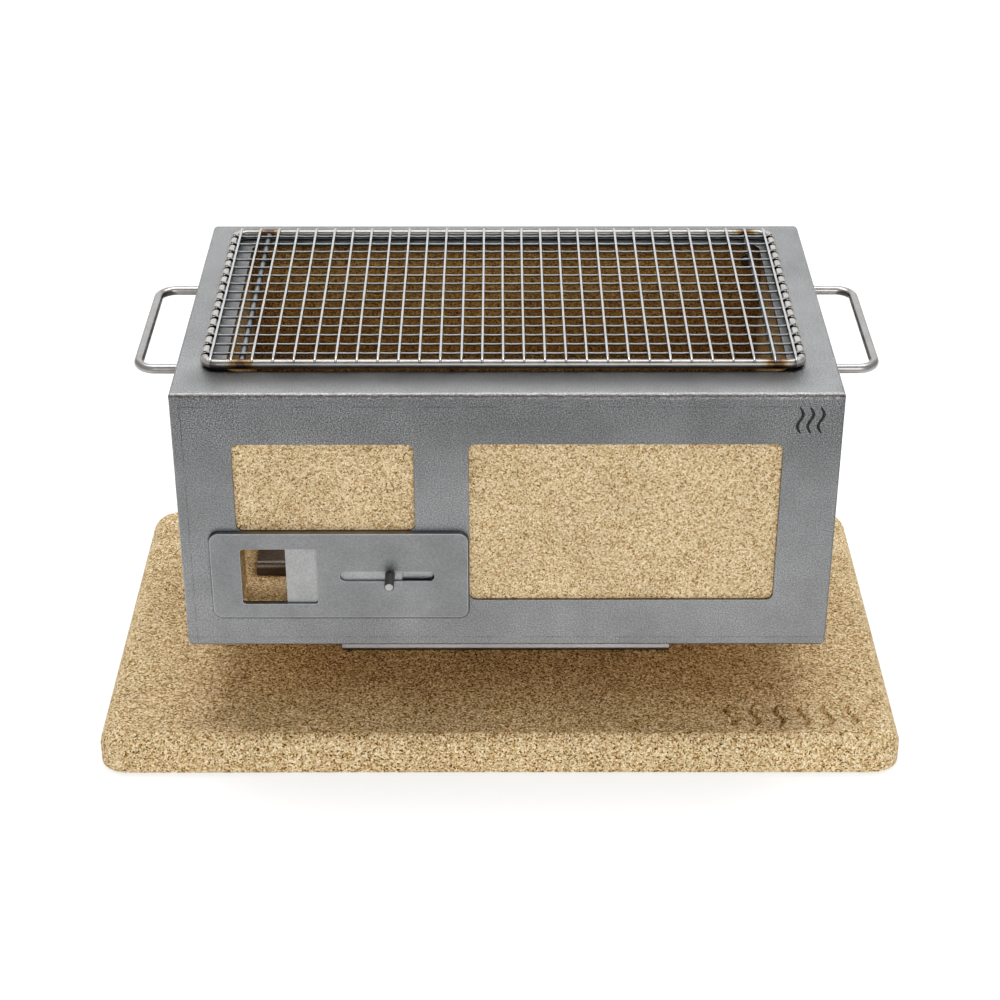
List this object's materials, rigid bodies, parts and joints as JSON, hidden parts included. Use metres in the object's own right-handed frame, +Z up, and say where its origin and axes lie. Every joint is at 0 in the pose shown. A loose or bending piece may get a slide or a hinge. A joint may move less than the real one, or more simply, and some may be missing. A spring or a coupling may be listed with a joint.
{
  "type": "hibachi grill",
  "caption": "Table-top hibachi charcoal grill: lined stainless firebox with sliding air vent, rod handles and a lift-off wire cooking grate, standing on a vermiculite base board.",
  "frame": {"origin": "centre of the base board's underside, on the surface it stands on", "axes": "+X to the cook's right along the long side, +Y away from the cook, +Z up; the air vent is on the -Y side"},
  "size_m": [0.5084, 0.291, 0.26],
  "materials": {
    "casing_steel": "ground stainless sheet, satin, faint heat haze",
    "vent_steel": "satin stainless plate",
    "shutter_steel": "bright satin stainless",
    "foot_steel": "folded stainless strip, satin",
    "rod_steel": "drawn round stainless rod, polished, heat-tinted at the welds",
    "wire_steel": "drawn stainless wire, spot-welded",
    "fastener_steel": "bright stainless hardware",
    "grate_sheet_steel": "folded steel sheet, slightly darkened by heat",
    "lining_vermiculite": null,
    "board_vermiculite": null
  },
  "bodies": {
    "base": {"base_board": "board_vermiculite"},
    "grill": {"front_top_panel": "casing_steel", "side_rear_shell": "casing_steel", "base_plate": "casing_steel", "front_foot": "foot_steel", "rear_foot": "foot_steel", "foot_bolts": "fastener_steel", "foot_nuts": "fastener_steel", "vent_face_plate": "vent_steel", "lining_front": "lining_vermiculite", "lining_rear": "lining_vermiculite", "lining_left": "lining_vermiculite", "lining_right": "lining_vermiculite", "lining_floor": "lining_vermiculite", "lining_screws": "fastener_steel", "left_handle": "rod_steel", "left_handle_washers": "fastener_steel", "left_handle_nuts": "fastener_steel", "right_handle": "rod_steel", "right_handle_washers": "fastener_steel", "right_handle_nuts": "fastener_steel"},
    "vent_slide": {"vent_shutter": "shutter_steel", "vent_stud": "fastener_steel"},
    "charcoal_tray": {"charcoal_grate": "grate_sheet_steel"},
    "cooking_grate": {"grate_frame": "rod_steel", "grate_cross_wires": "wire_steel", "grate_long_wires": "wire_steel", "grate_stiffeners": "rod_steel"}
  },
  "joints": [
    {"name": "grill_lift", "type": "slide", "parent": "base", "child": "grill", "axis": [0, 0, 1], "range_m": [0, 0.15]},
    {"name": "cooking_grate_lift", "type": "slide", "parent": "grill", "child": "cooking_grate", "axis": [0, 0, 1], "range_m": [0, 0.1]},
    {"name": "charcoal_grate_lift", "type": "slide", "parent": "grill", "child": "charcoal_tray", "axis": [0, 0, 1], "range_m": [0, 0.1]},
    {"name": "vent_shutter_slide", "type": "slide", "parent": "grill", "child": "vent_slide", "axis": [1, 0, 0], "range_m": [-0.0271, 0.0238]}
  ]
}
